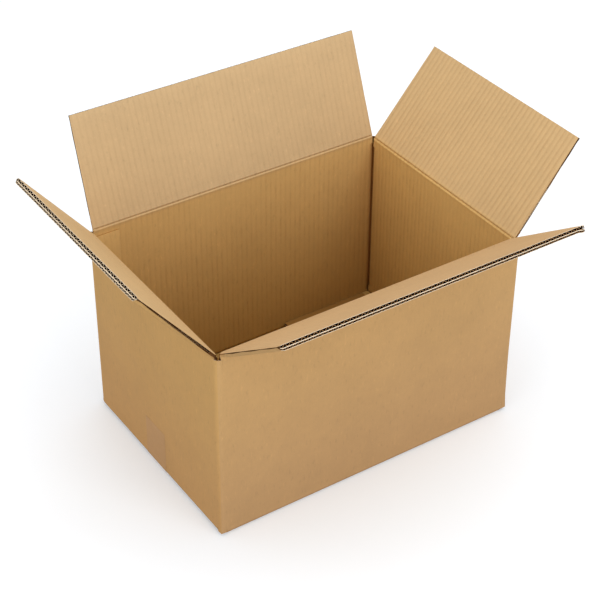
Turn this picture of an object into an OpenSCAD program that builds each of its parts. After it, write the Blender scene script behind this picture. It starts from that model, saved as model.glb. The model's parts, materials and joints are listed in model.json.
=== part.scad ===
// Open double-wall corrugated carton: a slotted blank folded into four walls, with a taped bottom and four top flaps.
// Lengths are in millimetres. +X runs along the long walls, +Z is up, and the front long wall faces -Y.
// The origin lies in the middle of the underside.

/* [Carton] */
// Length inside the walls
inner_l = 430; // [300:5:600]
// Width inside the walls
inner_w = 300; // [240:5:400]
// Height between the inner bottom flaps and the inner top flaps when all are shut
inner_h = 250; // [150:5:400]

/* [Board] */
// Thickness of one paper
paper = 0.35; // [0.3:0.01:0.4]
// Height of the large flutes, which lie on the inside of the board
large_flute_h = 3.5; // [3.2:0.1:3.8]
// Height of the small flutes, which lie on the outside of the board
small_flute_h = 2.45; // [2.2:0.05:2.6]
// Length of one large flute
large_pitch = 7.8; // [7.4:0.1:8.2]
// Length of one small flute
small_pitch = 6.4; // [6.1:0.1:6.8]
// Length of board that each flap score crushes on the flap side
crushed = 11; // [9:1:16]

/* [Blank] */
// Width of the slots between neighbouring flaps at the scores
slot_w = 9; // [8.5:0.5:14]
// How far each side of a top flap slants in from the score to the free edge
flap_slant = 3.5; // [1:0.5:6]
// Space between the two long flaps when they are shut
seam = 10; // [2:1:16]
// Outer radius of the upright folds
fold_r = 8; // [5:1:10]
// Outer radius of the bottom folds
bottom_fold_r = 6; // [3:1:7]
// Flat strips along a rounded fold
fold_strips = 4; // [2:1:8]
// Width of the glued tab inside the back wall
tab_w = 36; // [25:1:45]
// Thickness of the crushed board of the glued tab
tab_t = 4; // [3:0.5:4]
// How far the tab ends below the short flaps' score
tab_drop = 5; // [5:1:20]
// Outer radius of the fold between the left wall and its tab
tab_fold_r = 5; // [3:0.5:6]
// How far the raw end of the back wall lies inside the left wall's outside
joint_setback = 8; // [7.5:0.5:12]
// Side of the square groove that each upright score leaves in an inner corner
score_groove = 5; // [2:0.5:6]
// How far the slots reach below the short flaps' score
slot_past = 1; // [0.5:0.5:3]
// Space at each end of a flap beside the raw edge of its slot
end_space = 0.5; // [0.3:0.1:1]

/* [Flaps] */
// How far the front flap leans out from upright
front_lean = 54.4; // [-60:0.1:100]
// How far the back flap leans out from upright
back_lean = 19.5; // [-60:0.1:100]
// How far the left flap leans out from upright
left_lean = 38.9; // [-60:0.1:100]
// How far the right flap leans out from upright
right_lean = 39.2; // [-60:0.1:100]
// How far out from upright any flap can go
lean_limit = 105; // [100:1:110]
// Depth of the long flaps' turning line below the outside of the board
long_score_depth = 5.5; // [5:0.1:5.8]
// Depth of the short flaps' turning line below the outside of the board
short_score_depth = 3; // [2.5:0.1:3.5]
// Half the space between wall and flap at the turning line
score_space = 0.2; // [0.15:0.05:0.3]
// Angle by which the crushed sides of a score are freer than they need
score_ease = 0.5; // [0.3:0.1:1]
// Space between boards that lie on each other
lay_space = 0.4; // [0.3:0.1:0.8]

/* [Tape] */
// Width of the packing tape along the bottom seam
tape_w = 48; // [36:1:60]
// Thickness of the tape
tape_t = 0.1; // [0.08:0.01:0.2]
// How far the tape goes up each short wall
tape_up = 60; // [30:1:90]

/* [Hidden] */
board = 3 * paper + large_flute_h + small_flute_h;
outer_l = inner_l + 2 * board;
outer_w = inner_w + 2 * board;
// The short bottom flaps lie on the long ones, and the lift is the height of their underside.
lift = board + lay_space;
floor_z = lift + board;
// Heights of the turning lines: shut long flaps lie just above shut short flaps.
short_score_z = floor_z + inner_h + board - short_score_depth;
long_score_z = short_score_z + board + lay_space - (long_score_depth - short_score_depth);
flap_len = inner_w / 2 + board - long_score_depth - seam / 2;
bottom_flap_len = inner_w / 2 - seam / 2;
long_flap_w = inner_l + board - slot_w;
short_flap_w = inner_w + board - slot_w;
slot_end_z = short_score_z - slot_past;
ring_low = floor_z + bottom_fold_r;
ring_high = short_score_z - 2 * board;
kraft = [0.77, 0.61, 0.42];
tape_tint = [0.72, 0.58, 0.42];

// Corner points of a rounded fold about (x, y), turning from the angle a by 90 degrees.
function fold_points(x, y, r, a) =
    [for (i = [0:fold_strips]) [x + r * cos(a + 90 * i / fold_strips), y + r * sin(a + 90 * i / fold_strips)]];

// Outline of the carton from above. In the back left corner the left wall folds round into the glued tab,
// and the back wall ends in a raw edge behind that fold.
module outline() {
    x = outer_l / 2;
    y = outer_w / 2;
    rx = x - fold_r;
    ry = y - fold_r;
    joint_y = inner_w / 2;
    polygon(concat(
        fold_points(-rx, -ry, fold_r, 180),
        fold_points(rx, -ry, fold_r, 270),
        fold_points(rx, ry, fold_r, 0),
        [[-x + joint_setback, y], [-x + joint_setback, joint_y]],
        fold_points(-x + tab_fold_r, joint_y - tab_fold_r, tab_fold_r, 90)));
}

// The flute rows show along the raw end of the back wall as two grooves between the papers.
module raw_end_grooves() {
    x = -outer_l / 2;
    y = outer_w / 2 - paper;
    depth = 2 * joint_setback + 3 * paper;
    translate([x - joint_setback, y - small_flute_h]) square([depth, small_flute_h]);
    translate([x - joint_setback, inner_w / 2 + paper]) square([depth, large_flute_h]);
}

// Walls from above. Each upright score leaves a small groove in the inner corner.
module wall_plan() {
    difference() {
        outline();
        square([inner_l, inner_w], center = true);
        raw_end_grooves();
        for (p = [[-1, -1], [1, -1], [1, 1]])
            translate([p.x * inner_l / 2, p.y * inner_w / 2]) rotate(45) square(score_groove, center = true);
    }
}

// The walls at the three folded corners only, where the slots end in a raw edge.
module corner_plan() {
    intersection() {
        wall_plan();
        for (p = [[-1, -1], [1, -1], [1, 1]])
            translate([p.x * (long_flap_w / 2 + end_space + slot_w), p.y * (short_flap_w / 2 + end_space + slot_w)])
                square(2 * slot_w, center = true);
    }
}

// Section of a wall's top, u inward from the outside of the board and v up from the turning line.
// Both sides of the board are crushed towards the score.
function rim_points(depth, low) = [
    [0, low],
    [0, -score_space - depth * tan(lean_limit / 2 + score_ease)],
    [depth, -score_space],
    [board, -score_space - (board - depth) * tan(45 + score_ease)],
    [board, low]];

// Section of a flap's lower edge, the mirror image of the wall's top.
function flap_edge_points(depth) = [for (p = rim_points(depth, -crushed)) [p.x, -p.y]];

// Section of a wall's foot and the bottom flap folded in from it, u inward and v up.
function foot_points(top) = concat(
    [[0, top]],
    fold_points(bottom_fold_r, bottom_fold_r, bottom_fold_r, 180),
    [[board + bottom_flap_len, 0], [board + bottom_flap_len, board], [board, board], [board, top]]);

// Puts a section of (u, v) points upright and draws it out along a wall, u running inward from the wall's outside.
module along_wall(length, points) {
    rotate([90, 0, 90]) linear_extrude(height = length, center = true) polygon(points);
}

// Places what is drawn with u along +Y on the wall whose outside lies at the given distance.
module on_wall(angle, distance) {
    rotate(angle) translate([0, -distance, 0]) children();
}

// A closed flute of one row, as its void: base on one paper, crest near the next.
module flute_voids(length, pitch, height, low) {
    rise = atan2(height, pitch / 2);
    side = paper / 2 / sin(rise);
    crest = height - paper / 2 / cos(rise);
    half = floor(length / pitch / 2) + 1;
    for (i = [-half:half]) {
        translate([i * pitch, low]) polygon([[-pitch / 2 + side, 0], [pitch / 2 - side, 0], [0, crest]]);
        translate([(i + 0.5) * pitch, low + height]) polygon([[0, -crest], [pitch / 2 - side, 0], [-pitch / 2 + side, 0]]);
    }
}

// Section through the double-wall board across its flutes, from the outer paper at v = 0 to the inner paper.
module board_section(length) {
    difference() {
        translate([-length / 2, 0]) square([length, board]);
        flute_voids(length, small_pitch, small_flute_h, paper);
        flute_voids(length, large_pitch, large_flute_h, 2 * paper + small_flute_h);
    }
}

// Shape of a flap seen from inside: its sides slant in towards the free edge.
module flap_shape(length) {
    tip = length / 2 - flap_slant;
    rotate([90, 0, 0]) linear_extrude(height = 4 * board, center = true)
        polygon([[-length / 2, 0], [length / 2, 0], [tip, flap_len], [-tip, flap_len]]);
}

// A flap standing upright over its turning line at the origin, outside towards -Y, flutes open at the free edge.
module flap(length, depth) {
    color(kraft) intersection() {
        translate([0, -depth, 0]) {
            along_wall(length, flap_edge_points(depth));
            translate([0, 0, crushed])
                linear_extrude(height = flap_len - crushed) board_section(length);
        }
        flap_shape(length);
    }
}

// A flap in its place on a wall, leaning out.
module placed_flap(angle, distance, length, depth, height, lean) {
    on_wall(angle, distance - depth) translate([0, 0, height]) rotate([lean, 0, 0]) flap(length, depth);
}

// The tab folded from the left wall and glued inside the back wall.
module glued_tab() {
    translate([-inner_l / 2, inner_w / 2 - tab_t, ring_low])
        cube([tab_w, tab_t, short_score_z - tab_drop - ring_low]);
}

// A wall's rim, which ends at the slots and follows the outline at the joint.
module rim(angle, distance, length, depth, score_z) {
    intersection() {
        on_wall(angle, distance) translate([0, 0, score_z])
            along_wall(length + 2 * end_space, rim_points(depth, ring_high - score_z));
        translate([0, 0, ring_low]) linear_extrude(height = long_score_z) outline();
    }
}

// A wall's foot and bottom flap.
module foot(angle, distance, length, foot_z) {
    on_wall(angle, distance) translate([0, 0, foot_z]) along_wall(length, foot_points(ring_low - foot_z));
}

// The tape takes up its own thickness in the soft board of the long bottom flaps.
module tape_bed() {
    translate([-outer_l / 2, -tape_w / 2, -tape_t]) cube([outer_l, tape_w, 2 * tape_t]);
}

module carton_body() {
    color(kraft) difference() {
        union() {
            translate([0, 0, ring_low]) linear_extrude(height = ring_high - ring_low) wall_plan();
            translate([0, 0, ring_high]) linear_extrude(height = slot_end_z - ring_high) corner_plan();
            translate([0, 0, lift / 2]) linear_extrude(height = ring_low - lift / 2) corner_plan();
            for (angle = [0, 180]) {
                rim(angle, outer_w / 2, long_flap_w, long_score_depth, long_score_z);
                foot(angle, outer_w / 2, long_flap_w, 0);
            }
            for (angle = [90, 270]) {
                rim(angle, outer_l / 2, short_flap_w, short_score_depth, short_score_z);
                foot(angle, outer_l / 2, short_flap_w, lift);
            }
            glued_tab();
        }
        tape_bed();
    }
}

// One side of the tape's section: from under the seam straight across the slot to the fold of the short wall,
// round that fold and up the wall. The angles are those of a tangent from the flap's end to the fold.
function tape_side(r, z) =
    let (
        cx = outer_l / 2 - bottom_fold_r,
        cz = lift + bottom_fold_r,
        ax = long_flap_w / 2,
        reach = norm([ax - cx, z - cz]),
        first = atan2(z - cz, ax - cx) + acos(r / reach))
    concat(
        [[ax, z]],
        [for (i = [0:2 * fold_strips]) let (a = first * (1 - i / (2 * fold_strips))) [cx + r * cos(a), cz + r * sin(a)]],
        [[cx + r, lift + tape_up]]);

function reversed(points) = [for (i = [len(points) - 1:-1:0]) points[i]];

function mirrored(points) = [for (p = points) [-p.x, p.y]];

// The tape stands off the short walls by a hair, so it cuts into none of the strips of the fold.
module bottom_tape() {
    inside = tape_side(bottom_fold_r + tape_t, tape_t);
    outside = tape_side(bottom_fold_r + 2 * tape_t, 0);
    color(tape_tint) rotate([90, 0, 0]) linear_extrude(height = tape_w - lay_space, center = true)
        polygon(concat(outside, reversed(inside), mirrored(inside), reversed(mirrored(outside))));
}

module front_flap() {
    placed_flap(0, outer_w / 2, long_flap_w, long_score_depth, long_score_z, front_lean);
}

module back_flap() {
    placed_flap(180, outer_w / 2, long_flap_w, long_score_depth, long_score_z, back_lean);
}

module left_flap() {
    placed_flap(270, outer_l / 2, short_flap_w, short_score_depth, short_score_z, left_lean);
}

module right_flap() {
    placed_flap(90, outer_l / 2, short_flap_w, short_score_depth, short_score_z, right_lean);
}

carton_body();
bottom_tape();
front_flap();
back_flap();
left_flap();
right_flap();
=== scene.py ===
# %% [markdown]
# # An open double-wall carton
# A carton is one sheet of corrugated board: it is slotted, pressed along its scores, folded round into
# four walls and glued at one corner. Its bottom flaps are shut and taped, and its four top flaps stand
# open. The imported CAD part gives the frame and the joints. Here every paper of the board gets its look.
# Nothing of the CAD part is moved: new pieces stand for its nodes and ride on its bodies.

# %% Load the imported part
import json
import math

import bpy
from mathutils import Matrix, Vector


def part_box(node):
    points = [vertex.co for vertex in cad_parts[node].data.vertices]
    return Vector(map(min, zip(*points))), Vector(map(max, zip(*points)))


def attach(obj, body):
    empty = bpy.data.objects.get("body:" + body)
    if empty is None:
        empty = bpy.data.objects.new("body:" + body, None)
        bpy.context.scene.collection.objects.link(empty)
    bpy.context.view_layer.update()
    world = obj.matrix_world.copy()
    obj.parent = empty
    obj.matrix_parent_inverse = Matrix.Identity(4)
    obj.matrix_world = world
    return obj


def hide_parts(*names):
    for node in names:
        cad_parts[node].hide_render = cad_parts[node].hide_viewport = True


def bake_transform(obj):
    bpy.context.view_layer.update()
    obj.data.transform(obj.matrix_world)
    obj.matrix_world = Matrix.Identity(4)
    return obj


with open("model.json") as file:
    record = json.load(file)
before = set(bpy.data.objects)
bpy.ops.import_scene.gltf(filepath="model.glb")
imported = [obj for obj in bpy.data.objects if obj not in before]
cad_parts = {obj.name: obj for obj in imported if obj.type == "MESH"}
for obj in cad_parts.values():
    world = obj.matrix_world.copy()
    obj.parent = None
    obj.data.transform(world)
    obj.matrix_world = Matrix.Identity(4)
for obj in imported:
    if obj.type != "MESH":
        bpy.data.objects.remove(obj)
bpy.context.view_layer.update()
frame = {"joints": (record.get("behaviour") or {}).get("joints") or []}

# %% [markdown]
# The measures come first. The board has three flat papers and two rows of flutes, the large ones inside.
# Lengths that the CAD part knows are read from its boxes and joints, so that the looks follow it. Three
# small lengths say how near a point has to be to count as lying on something.

# %% Measures of the board and the carton
MM = 0.001
PAPER = 0.35 * MM
MEDIUM = 0.4 * MM
SMALL_FLUTE, LARGE_FLUTE = 2.45 * MM, 3.5 * MM
SMALL_PITCH, LARGE_PITCH = 6.4 * MM, 7.8 * MM
BOARD = 3 * PAPER + SMALL_FLUTE + LARGE_FLUTE
HALF_L, HALF_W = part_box("carton_body")[1].x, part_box("carton_body")[1].y
LONG_FLAP_W = 2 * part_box("front_flap")[1].x
SHORT_FLAP_W = 2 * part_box("left_flap")[1].y
FLAP_LEN = 146.5 * MM
FLAP_SLANT = 3.5 * MM
FOLD_R = 7.6 * MM
BAND = 12 * MM
LIFT = BOARD + 0.4 * MM
NEAR, CLOSE, TOUCH = 0.1 * MM, 0.05 * MM, 0.02 * MM
SHOWN_FLAPS = {"front_flap": 0, "right_flap": 90, "back_flap": 180, "left_flap": 270}
scores = {j["child"]: j for j in frame["joints"]}
pivots = {name: Vector(scores[name]["pos_m"]) for name in SHOWN_FLAPS}
leans = {name: math.radians(-90 - scores[name]["range_deg"][0]) for name in SHOWN_FLAPS}
LONG_DEPTH = HALF_W + pivots["front_flap"].y
SHORT_DEPTH = HALF_L + pivots["left_flap"].x
SLOT_END_Z = pivots["left_flap"].z + 0.2 * MM
print("board %.2f mm, score depths %.2f and %.2f mm" % (BOARD / MM, LONG_DEPTH / MM, SHORT_DEPTH / MM))
print("leans", {name: round(math.degrees(a), 1) for name, a in leans.items()})

# %% [markdown]
# Modelling by hand means choosing parts of a mesh and moving them. In a script the choosing is done by
# place: a short test says which vertices, edges or faces are meant, and the operator that follows acts on
# just those.


# %% Helpers for choosing by place
def clear_selection():
    """Leaves edit mode and deselects every object."""
    if bpy.context.object and bpy.context.object.mode != "OBJECT":
        bpy.ops.object.mode_set(mode="OBJECT")
    bpy.ops.object.select_all(action="DESELECT")


def take(piece):
    """Makes one piece the selected and active object."""
    clear_selection()
    piece.select_set(True)
    bpy.context.view_layer.objects.active = piece


def pick(piece, test, kind="VERT"):
    """Enters edit mode with only those parts of the piece selected that pass the test, and counts them."""
    take(piece)
    bpy.ops.object.mode_set(mode="EDIT")
    bpy.ops.mesh.select_mode(type=kind)
    bpy.ops.mesh.select_all(action="DESELECT")
    bpy.ops.object.mode_set(mode="OBJECT")
    mesh = piece.data
    if kind == "VERT":
        chosen = [v for v in mesh.vertices if test(v.co)]
    elif kind == "EDGE":
        ends = mesh.vertices
        chosen = [e for e in mesh.edges if test(ends[e.vertices[0]].co, ends[e.vertices[1]].co)]
    else:
        chosen = [f for f in mesh.polygons if test(f.center, f.normal)]
    for item in chosen:
        item.select = True
    bpy.ops.object.mode_set(mode="EDIT")
    return len(chosen)


def pick_all(piece):
    """Enters edit mode with the whole mesh selected."""
    take(piece)
    bpy.ops.object.mode_set(mode="EDIT")
    bpy.ops.mesh.select_all(action="SELECT")


def done():
    """Leaves edit mode."""
    bpy.ops.object.mode_set(mode="OBJECT")


def shift(piece, test, move):
    """Moves the vertices that pass the test, and counts them."""
    count = pick(piece, test)
    bpy.ops.transform.translate(value=move)
    done()
    return count


def draw_path(points):
    """Draws a chain of edges with extrude, and stays in edit mode with all of it selected."""
    clear_selection()
    bpy.ops.mesh.primitive_plane_add(size=MM, location=points[0])
    line = bpy.context.object
    bpy.ops.object.transform_apply(location=True, rotation=True, scale=True)
    bpy.ops.object.mode_set(mode="EDIT")
    bpy.ops.mesh.merge(type="CENTER")
    for start, end in zip(points, points[1:]):
        leg = tuple(b - a for a, b in zip(start, end))
        bpy.ops.mesh.extrude_region_move(TRANSFORM_OT_translate={"value": leg})
    bpy.ops.mesh.select_all(action="SELECT")
    return line


def shade(piece, degrees):
    """Shades a piece smooth, apart from edges sharper than the angle."""
    take(piece)
    bpy.ops.object.shade_smooth_by_angle(angle=math.radians(degrees))


def paint(piece, finishes):
    """Adds materials to a piece in this order."""
    for finish in finishes:
        piece.data.materials.append(finish)


def apply_modifier(piece, kind, **settings):
    """Adds a modifier with these settings and applies it."""
    take(piece)
    modifier = piece.modifiers.new(kind.lower(), kind)
    for key, value in settings.items():
        setattr(modifier, key, value)
    bpy.ops.object.modifier_apply(modifier=modifier.name)


def thicken(sheet, thick):
    """Gives a paper its thickness, with one finish on each side and the third on its rim."""
    apply_modifier(sheet, "SOLIDIFY", thickness=thick, offset=0.0, material_offset=1,
                   material_offset_rim=2)


def join(pieces, name):
    """Joins pieces into the first one and names it."""
    clear_selection()
    for piece in pieces:
        piece.select_set(True)
    bpy.context.view_layer.objects.active = pieces[0]
    bpy.ops.object.join()
    pieces[0].name = name
    pieces[0].data.name = name
    return pieces[0]


def copy_of(piece, name):
    """A copy of a piece with its own mesh."""
    take(piece)
    bpy.ops.object.duplicate()
    copy = bpy.context.object
    copy.name = name
    copy.data.name = name
    return copy


def smooth(t):
    """0 below 0, 1 above 1 and a soft step between."""
    t = min(max(t, 0.0), 1.0)
    return t * t * (3 - 2 * t)


# %% [markdown]
# Kraft paper is never one flat brown. Clouds a hand wide, blotches a thumb wide, fine fibres and short
# pale and dark dashes lie over each other. This effect is in every paper of the carton, so it is one node
# group that each material feeds with its own tone and strength.


# %% Node helpers
def new_group(name, inputs, outputs):
    """An empty shader node group with named sockets, and its input and output nodes."""
    group = bpy.data.node_groups.new(name, "ShaderNodeTree")
    for label, kind in inputs:
        group.interface.new_socket(name=label, in_out="INPUT", socket_type=kind)
    for label, kind in outputs:
        group.interface.new_socket(name=label, in_out="OUTPUT", socket_type=kind)
    return group, group.nodes.new("NodeGroupInput"), group.nodes.new("NodeGroupOutput")


class Net:
    """Adds nodes to one node tree and links them."""

    def __init__(self, tree):
        self.tree = tree

    def feed(self, socket, value):
        if isinstance(value, bpy.types.NodeSocket):
            self.tree.links.new(value, socket)
        else:
            socket.default_value = value

    def add(self, kind, inputs, **settings):
        """The outputs of a new node with these inputs and settings."""
        node = self.tree.nodes.new("ShaderNode" + kind)
        for key, value in settings.items():
            setattr(node, key, value)
        for socket, value in inputs.items():
            self.feed(node.inputs[socket], value)
        return node.outputs

    def math(self, operation, *values):
        return self.add("Math", dict(enumerate(values)), operation=operation)[0]

    def noise(self, vector, scale, detail=2.0, roughness=0.5):
        inputs = {"Vector": vector, "Scale": scale, "Detail": detail, "Roughness": roughness}
        return self.add("TexNoise", inputs)["Fac"]

    def step(self, value, low, high):
        inputs = {"Value": value, "From Min": low, "From Max": high}
        return self.add("MapRange", inputs, interpolation_type="SMOOTHSTEP")["Result"]

    def stretch(self, vector, scale):
        return self.add("VectorMath", {0: vector, 1: scale}, operation="MULTIPLY")["Vector"]

    def dim(self, colour, factor):
        return self.add("VectorMath", {0: colour, "Scale": factor}, operation="SCALE")["Vector"]

    def mix(self, factor, first, second):
        return self.add("Mix", {0: factor, 6: first, 7: second}, data_type="RGBA")[2]

    def split(self, vector):
        return self.add("SeparateXYZ", {0: vector})

    def combine(self, x, y, z):
        return self.add("CombineXYZ", {0: x, 1: y, 2: z})[0]

    def place(self, group, **values):
        return self.add("Group", values, node_tree=group)


# %% The kraft paper group
def kraft_group():
    """Tone of kraft paper: clouds, blotches, fibres and flecks over a colour."""
    group, given, out = new_group(
        "kraft_paper",
        [("Vector", "NodeSocketVector"), ("Tone", "NodeSocketColor"), ("Mottle", "NodeSocketFloat"),
         ("Flecks", "NodeSocketFloat")],
        [("Colour", "NodeSocketColor"), ("Roughness", "NodeSocketFloat"), ("Height", "NodeSocketFloat")])
    net = Net(group)
    place = given.outputs["Vector"]
    mottle = given.outputs["Mottle"]
    clouds = net.math("SUBTRACT", net.noise(place, scale=9.0), 0.5)
    blotches = net.math("SUBTRACT", net.noise(place, scale=55.0, detail=4.0, roughness=0.6), 0.5)
    upright = net.stretch(place, (1.0, 1.0, 0.45))
    fibres = net.math("SUBTRACT", net.noise(upright, scale=900.0, detail=3.0, roughness=0.6), 0.5)
    level = net.math("ADD", net.math("MULTIPLY", clouds, 0.16), net.math("MULTIPLY", blotches, 0.14))
    level = net.math("ADD", level, net.math("MULTIPLY", fibres, 0.12))
    level = net.math("MULTIPLY_ADD", level, mottle, 1.0)
    dashes = net.noise(net.stretch(place, (1.0, 1.0, 0.3)), scale=330.0)
    flecks = net.math("SUBTRACT", net.step(dashes, 0.60, 0.80), net.step(dashes, 0.42, 0.22))
    level = net.math("MULTIPLY_ADD", net.math("MULTIPLY", flecks, 0.10), given.outputs["Flecks"], level)
    colour = net.dim(given.outputs["Tone"], level)
    group.links.new(colour, out.inputs["Colour"])
    group.links.new(net.math("MULTIPLY_ADD", blotches, 0.25, 0.82), out.inputs["Roughness"])
    group.links.new(net.math("ADD", fibres, blotches), out.inputs["Height"])
    return group


KRAFT = kraft_group()
print("group", KRAFT.name, "with", len(KRAFT.nodes), "nodes")

# %% [markdown]
# The paper sags a little between the flutes that it is glued to, so fine lines run along the board. The
# sag is given as a bump, and the darker brown drawn in its troughs is painted shade, with some real glue
# lines in it. They are not even: some are faint, and each comes and goes along its length. One group draws
# them for the large flutes inside and the small ones outside, with the pitch and the direction as inputs.


# %% The flute line group
FLUTE_JUMP, BREAKS_PER_METRE, PATCHES_PER_METRE, PATCH_SEED = 7.31, 40.0, 9.0, 3.7


def flute_line_group():
    """Lines along the flutes: how dark the paper is there, and how high it stands."""
    group, given, out = new_group(
        "flute_lines",
        [("Across", "NodeSocketFloat"), ("Along", "NodeSocketFloat"), ("Pitch", "NodeSocketFloat"),
         ("Even", "NodeSocketFloat")],
        [("Line", "NodeSocketFloat"), ("Height", "NodeSocketFloat")])
    net = Net(group)
    across = given.outputs["Across"]
    along = given.outputs["Along"]
    count = net.math("DIVIDE", across, given.outputs["Pitch"])
    wave = net.math("SINE", net.math("MULTIPLY", count, 2 * math.pi))
    flute = net.math("ROUND", count)
    seed = net.combine(net.math("MULTIPLY", flute, FLUTE_JUMP),
                       net.math("MULTIPLY", along, BREAKS_PER_METRE), 0.0)
    broken = net.step(net.noise(seed, scale=1.0, detail=4.0, roughness=0.7), 0.32, 0.75)
    patch = net.combine(net.math("MULTIPLY", across, PATCHES_PER_METRE),
                        net.math("MULTIPLY", along, PATCHES_PER_METRE), PATCH_SEED)
    broken = net.math("MULTIPLY", broken, net.step(net.noise(patch, scale=1.0), 0.25, 0.65))
    # Painted shade: the troughs of the sag are drawn darker.
    trough = net.step(wave, 0.0, 1.0)
    even = given.outputs["Even"]
    drawn = net.math("MULTIPLY_ADD", broken, net.math("SUBTRACT", 1.0, even), even)
    group.links.new(net.math("MULTIPLY", trough, drawn), out.inputs["Line"])
    group.links.new(net.math("MULTIPLY", wave, -0.5), out.inputs["Height"])
    return group


FLUTE_LINES = flute_line_group()

# %% [markdown]
# Where the board is folded the paper is stretched and rubbed, so the upright folds are a shade paler than
# the walls. The group finds them by their place: close to both ends of the carton's outline at once.


# %% The rubbed fold group
def rubbed_fold_group():
    """1 on the upright folds, 0 on the walls."""
    group, given, out = new_group(
        "rubbed_folds", [("Vector", "NodeSocketVector")], [("Mask", "NodeSocketFloat")])
    net = Net(group)
    x, y, _ = net.split(given.outputs["Vector"])
    near_x = net.step(net.math("ABSOLUTE", x), HALF_L - 1.1 * FOLD_R, HALF_L - 0.3 * FOLD_R)
    near_y = net.step(net.math("ABSOLUTE", y), HALF_W - 1.1 * FOLD_R, HALF_W - 0.3 * FOLD_R)
    wear = net.noise(given.outputs["Vector"], scale=70.0, detail=4.0, roughness=0.6)
    rubbed = net.step(wear, 0.2, 0.65)
    group.links.new(net.math("MULTIPLY", net.math("MULTIPLY", near_x, near_y), rubbed), out.inputs["Mask"])
    return group


RUBBED_FOLDS = rubbed_fold_group()
print("groups", [g.name for g in bpy.data.node_groups])

# %% [markdown]
# The board has four faces to finish: inside and outside, each with its flutes along one of two
# directions. Each face is painted darker towards the floor and, inside, paler on the flaps: painted shade
# and painted light for how the light falls in and round the box. The short walls' tones are a little
# brighter than the long walls', painted light too. The inside of the front flap is a fifth, browner: a
# painted shade copy for a flap that faces away from the front lamp. All come from one function.
# Colours are written as sRGB and turned to the linear values that Blender mixes.


# %% Board materials
EVEN_WALL, EVEN_FLAP, FIBRE_SHARE, RUBBED = 0.15, 0.45, 0.12, 0.03


def linear(red, green, blue):
    """A colour given in sRGB from 0 to 255, as Blender's linear colour."""
    parts = [c / 255 for c in (red, green, blue)]
    return tuple(c / 12.92 if c <= 0.04045 else ((c + 0.055) / 1.055) ** 2.4 for c in parts) + (1.0,)


def new_material(name):
    """A material with a Principled shader, its net and the Object coordinates."""
    material = bpy.data.materials.new(name)
    material.use_nodes = True
    net = Net(material.node_tree)
    place = net.add("TexCoord", {})["Object"]
    shader = material.node_tree.nodes["Principled BSDF"]
    shader.inputs["Specular IOR Level"].default_value = 0.2
    return material, net, place, shader


def bump(net, shader, height, strength, depth):
    """Raises the shading by a height."""
    raised = net.add("Bump", {"Strength": strength, "Distance": depth, "Height": height})
    net.feed(shader.inputs["Normal"], raised["Normal"])


def board_material(name, tones, across, pitch, lines, rubbed):
    """One face of the board, with its tones for foot, wall and flap.

    The lines give how dark the flute lines are on walls and on flaps, and how high they stand.
    """
    # Painted shade and light: the foot tone darkens the board towards the floor and the flap tone sets the
    # flaps apart from the walls.
    foot_tone, wall_tone, flap_tone = tones
    wall_lines, flap_lines, line_height = lines
    material, net, place, shader = new_material(name)
    axes = net.split(place)
    on_flap = net.step(axes["Z"], *FLAP_STEP)
    tone = net.mix(net.step(axes["Z"], *WALL_STEP), foot_tone, wall_tone)
    tone = net.mix(on_flap, tone, flap_tone)
    paper = net.place(KRAFT, Vector=place, Tone=tone, Mottle=1.0, Flecks=1.0)
    even = net.math("MULTIPLY_ADD", on_flap, EVEN_FLAP - EVEN_WALL, EVEN_WALL)
    drawn = net.place(FLUTE_LINES, Across=axes[across], Along=axes["Z"], Pitch=pitch, Even=even)
    dark = net.math("MULTIPLY_ADD", on_flap, flap_lines - wall_lines, wall_lines)
    browner = net.stretch(paper["Colour"], LINE_BROWN)
    colour = net.mix(net.math("MULTIPLY", drawn["Line"], dark), paper["Colour"], browner)
    if rubbed:
        mask = net.place(RUBBED_FOLDS, Vector=place)["Mask"]
        colour = net.dim(colour, net.math("MULTIPLY_ADD", mask, rubbed, 1.0))
    net.feed(shader.inputs["Base Color"], colour)
    net.feed(shader.inputs["Roughness"], paper["Roughness"])
    fibre_height = net.math("MULTIPLY", paper["Height"], FIBRE_SHARE)
    height = net.math("MULTIPLY_ADD", drawn["Height"], line_height, fibre_height)
    bump(net, shader, height, 0.6, 0.4 * MM)
    return material


LINE_BROWN = (0.3, 0.1, 0.0)
# The tones change with height: from foot to wall over the whole wall, and to the flap tone across the
# crease. The darker foot tones are painted shade towards the floor, the deeper inside wall tones painted
# shade in the box and the paler inside flap tones painted light; the short walls' tones are a little
# brighter, painted light for how the lamps reach them.
WALL_STEP, FLAP_STEP = (0 * MM, 275 * MM), (266 * MM, 276 * MM)
INSIDE_TONES = {"X": (linear(188, 151, 86), linear(213, 175, 113), linear(204, 174, 131)),
                "Y": (linear(194, 155, 87), linear(219, 180, 113), linear(205, 172, 124))}
OUTSIDE_TONES = {"X": (linear(196, 155, 108), linear(208, 167, 112), linear(208, 167, 112)),
                 "Y": (linear(204, 158, 103), linear(211, 168, 106), linear(211, 168, 106))}
INSIDE_LINES = {"X": (0.20, 0.10, 0.6), "Y": (0.20, 0.21, 0.9)}
OUTSIDE_LINES = (0.02, 0.01, 0.06)
WALLS = (("X", "long"), ("Y", "short"))
inside = {axis: board_material("kraft_inside_" + name, INSIDE_TONES[axis], axis, LARGE_PITCH,
                               INSIDE_LINES[axis], 0) for axis, name in WALLS}
outside = {axis: board_material("kraft_outside_" + name, OUTSIDE_TONES[axis], axis, SMALL_PITCH,
                                OUTSIDE_LINES, RUBBED) for axis, name in WALLS}
# Painted shade: the front flap's inside is a darker copy of the inside paper, as that flap faces away from
# the front lamp.
FRONT_SHADED_TONES = (*INSIDE_TONES["X"][:2], linear(199, 163, 117))
front_inside_shaded = board_material("kraft_inside_front_shaded", FRONT_SHADED_TONES, "X", LARGE_PITCH, INSIDE_LINES["X"], 0)

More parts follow.
